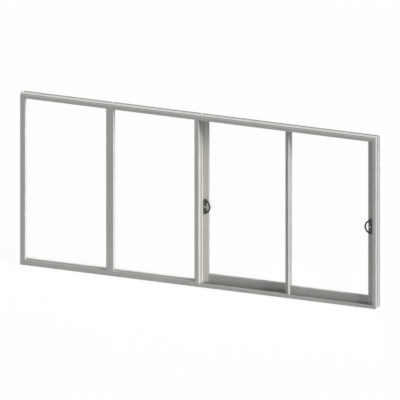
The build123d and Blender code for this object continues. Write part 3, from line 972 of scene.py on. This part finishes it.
class DOORUNIT_OT_make_plate_screws(bpy.types.Operator):
    """Two screws in each handle plate, above and below the thumb turn"""

    bl_idname = "door_unit.make_plate_screws"
    bl_label = "Plate Screws"

    def execute(self, context):
        sizes = context.scene.door_unit_sizes
        for panel in PANELS:
            low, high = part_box(f"{panel}_handle_plate")
            middle = (low + high) / 2
            bm = bmesh.new()
            for way in (-1, 1):
                centre = Vector((middle.x, low.y, middle.z + way * sizes.screw_spacing))
                add_turned(bm, centre, -Y_AXIS, screw_profile(sizes))
            as_piece(f"{panel}_plate_screws", bm, panel, steel())
        return {"FINISHED"}


class DOORUNIT_OT_make_frame_screws(bpy.types.Operator):
    """Screws that hold the heads and sills, in the outer faces of the two end jambs"""

    bl_idname = "door_unit.make_frame_screws"
    bl_label = "Frame Screws"

    def execute(self, context):
        sizes = context.scene.door_unit_sizes
        inset = sizes.fin_reach + sizes.end_step
        for jamb, level, way, name in (
            ("lite_1_left_jamb", "lite_1_sill", -1, "left_frame_screws"),
            ("door_right_jamb", "door_sill", 1, "right_frame_screws"),
        ):
            low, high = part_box(jamb)
            face = low.x + inset if way < 0 else high.x - inset
            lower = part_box(level)[0].z + sizes.screw_margin
            upper = high.z - sizes.end_step - sizes.screw_margin
            bm = bmesh.new()
            for z in (lower, upper):
                for place in (1, 2, 3):
                    centre = Vector((face, high.y - place * sizes.screw_pitch, z))
                    add_turned(bm, centre, X_AXIS * way, screw_profile(sizes))
            as_piece(name, bm, "frame", steel())
        return {"FINISHED"}


class DOORUNIT_OT_make_adjuster_plugs(bpy.types.Operator):
    """Plugs over the roller adjusters, near the foot of each stile"""

    bl_idname = "door_unit.make_adjuster_plugs"
    bl_label = "Adjuster Plugs"

    def execute(self, context):
        sizes = context.scene.door_unit_sizes
        profile = head_profile(PLUG_HEAD, sizes.plug_radius, sizes.plug_height)
        for panel in PANELS:
            low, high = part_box(f"{panel}_bottom_rail")
            bm = bmesh.new()
            for x in (low.x + sizes.plug_inset, high.x - sizes.plug_inset):
                centre = Vector((x, high.y, low.z + sizes.plug_rise))
                add_turned(bm, centre, Y_AXIS, profile)
            as_piece(f"{panel}_adjuster_plugs", bm, panel, nylon())
        return {"FINISHED"}


class DOORUNIT_OT_make_head_stops(bpy.types.Operator):
    """Rubber stops in the head's channels, just past the end of each panel's travel"""

    bl_idname = "door_unit.make_head_stops"
    bl_label = "Head Stops"

    def execute(self, context):
        sizes = context.scene.door_unit_sizes
        slides = [joint for joint in frame["joints"] if joint["type"] == "slide"]
        travel = {joint["child"]: joint["range_m"] for joint in slides}
        nose, half = sizes.stop_nose, sizes.stop_width / 2
        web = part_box("left_panel_top_rail")[1].z + sizes.head_gap
        foot = web - sizes.stop_drop
        # Each level of a stop is (height, how far it draws in)
        levels = ((web, 0.0), (foot + nose, 0.0), (foot + nose * 0.3, nose * 0.3), (foot, nose))
        for panel in PANELS:
            rail_low, rail_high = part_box(f"{panel}_top_rail")
            stiles = [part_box(f"{panel}_{bar}_stile") for bar in ("lock", "interlock")]
            if panel == "left_panel":
                furthest = max(box[1].x for box in stiles) + max(travel[panel])
                x_low = furthest + sizes.stop_clear
            else:
                furthest = min(box[0].x for box in stiles) + min(travel[panel])
                x_low = furthest - sizes.stop_clear - sizes.stop_length
            x_high = x_low + sizes.stop_length
            middle = (rail_low.y + rail_high.y) / 2
            y_low, y_high = middle - half, middle + half
            rows = [
                [
                    (x_low + draw, y_low + draw, z),
                    (x_high - draw, y_low + draw, z),
                    (x_high - draw, y_high - draw, z),
                    (x_low + draw, y_high - draw, z),
                ]
                for z, draw in levels
            ]
            bm = bmesh.new()
            add_swept(bm, rows)
            as_piece(f"{panel}_head_stop", bm, "frame", rubber())
        return {"FINISHED"}


class DOORUNIT_OT_make_weep_covers(bpy.types.Operator):
    """Covers over the weep holes, on the outside slope of the fixed lites' sills"""

    bl_idname = "door_unit.make_weep_covers"
    bl_label = "Weep Covers"

    def execute(self, context):
        sizes = context.scene.door_unit_sizes
        for lite in LITES:
            low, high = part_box(f"{lite}_sill")
            stop_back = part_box(f"{lite}_outside_stops")[1].y
            fall = Vector((0.0, high.y - stop_back, -sizes.sill_fall))
            foot = Vector((0.0, stop_back, high.z)) + fall * WEEP_DROP
            down = fall.normalized()
            up = Vector((0.0, -down.z, down.y))
            bm = bmesh.new()
            for share in WEEP_PLACES:
                x = low.x + (high.x - low.x) * share
                rows = []
                for along, tall, wide in WEEP_COVER:
                    half = sizes.weep_width * wide / 2
                    base = foot + down * along
                    rows.append([
                        base + X_AXIS * (x - half) - up * SUNK,
                        base + X_AXIS * (x + half) - up * SUNK,
                        base + X_AXIS * (x + half * WEEP_TAPER) + up * tall,
                        base + X_AXIS * (x - half * WEEP_TAPER) + up * tall,
                    ])
                add_swept(bm, rows)
            as_piece(f"{lite}_weep_covers", bm, "frame", nylon())
        return {"FINISHED"}


class DOORUNIT_OT_set_stage(bpy.types.Operator):
    """Pale floor, soft light, white surround and the camera"""

    bl_idname = "door_unit.set_stage"
    bl_label = "Stage"

    def execute(self, context):
        stage = context.scene.door_unit_stage
        context.scene.view_settings.view_transform = "Standard"
        lay_floor(tuple(context.scene.door_unit_colours.floor), stage)
        light_round(stage)
        hang_sun("main_sun", Vector(stage.sun_from), stage.sun_strength, stage.sun_spread)
        hang_sun("back_fill", Vector(stage.fill_from), stage.fill_strength, stage.sun_spread)
        set_camera(stage)
        return {"FINISHED"}


OPERATORS = (
    DOORUNIT_OT_dress_frame,
    DOORUNIT_OT_dress_panels,
    DOORUNIT_OT_dress_tracks,
    DOORUNIT_OT_dress_glass,
    DOORUNIT_OT_dress_handles,
    DOORUNIT_OT_make_lite_gaskets,
    DOORUNIT_OT_make_panel_gaskets,
    DOORUNIT_OT_make_pile_strips,
    DOORUNIT_OT_make_pulls,
    DOORUNIT_OT_make_plate_screws,
    DOORUNIT_OT_make_frame_screws,
    DOORUNIT_OT_make_adjuster_plugs,
    DOORUNIT_OT_make_head_stops,
    DOORUNIT_OT_make_weep_covers,
    DOORUNIT_OT_set_stage,
)


class DOORUNIT_PT_fittings(bpy.types.Panel):
    """Lists the steps that dress the unit"""

    bl_idname = "DOORUNIT_PT_fittings"
    bl_label = "Lite and Sliding Door Unit"
    bl_space_type = "VIEW_3D"
    bl_region_type = "UI"
    bl_category = "Door Unit"

    def draw(self, context):
        for operator in OPERATORS:
            self.layout.operator(operator.bl_idname)


GROUPS = (DoorUnitSizes, DoorUnitColours, DoorUnitStage)
CLASSES = GROUPS + OPERATORS + (DOORUNIT_PT_fittings,)


def register():
    for kind in CLASSES:
        bpy.utils.register_class(kind)
    bpy.types.Scene.door_unit_sizes = PointerProperty(type=DoorUnitSizes)
    bpy.types.Scene.door_unit_colours = PointerProperty(type=DoorUnitColours)
    bpy.types.Scene.door_unit_stage = PointerProperty(type=DoorUnitStage)


def unregister():
    del bpy.types.Scene.door_unit_stage
    del bpy.types.Scene.door_unit_colours
    del bpy.types.Scene.door_unit_sizes
    for kind in reversed(CLASSES):
        bpy.utils.unregister_class(kind)


def main():
    register()
    bpy.ops.door_unit.dress_frame()
    bpy.ops.door_unit.dress_panels()
    bpy.ops.door_unit.dress_tracks()
    bpy.ops.door_unit.dress_glass()
    bpy.ops.door_unit.dress_handles()
    bpy.ops.door_unit.make_lite_gaskets()
    bpy.ops.door_unit.make_panel_gaskets()
    bpy.ops.door_unit.make_pile_strips()
    bpy.ops.door_unit.make_pulls()
    bpy.ops.door_unit.make_plate_screws()
    bpy.ops.door_unit.make_frame_screws()
    bpy.ops.door_unit.make_adjuster_plugs()
    bpy.ops.door_unit.make_head_stops()
    bpy.ops.door_unit.make_weep_covers()
    bpy.ops.door_unit.set_stage()


if __name__ == "__main__":
    main()
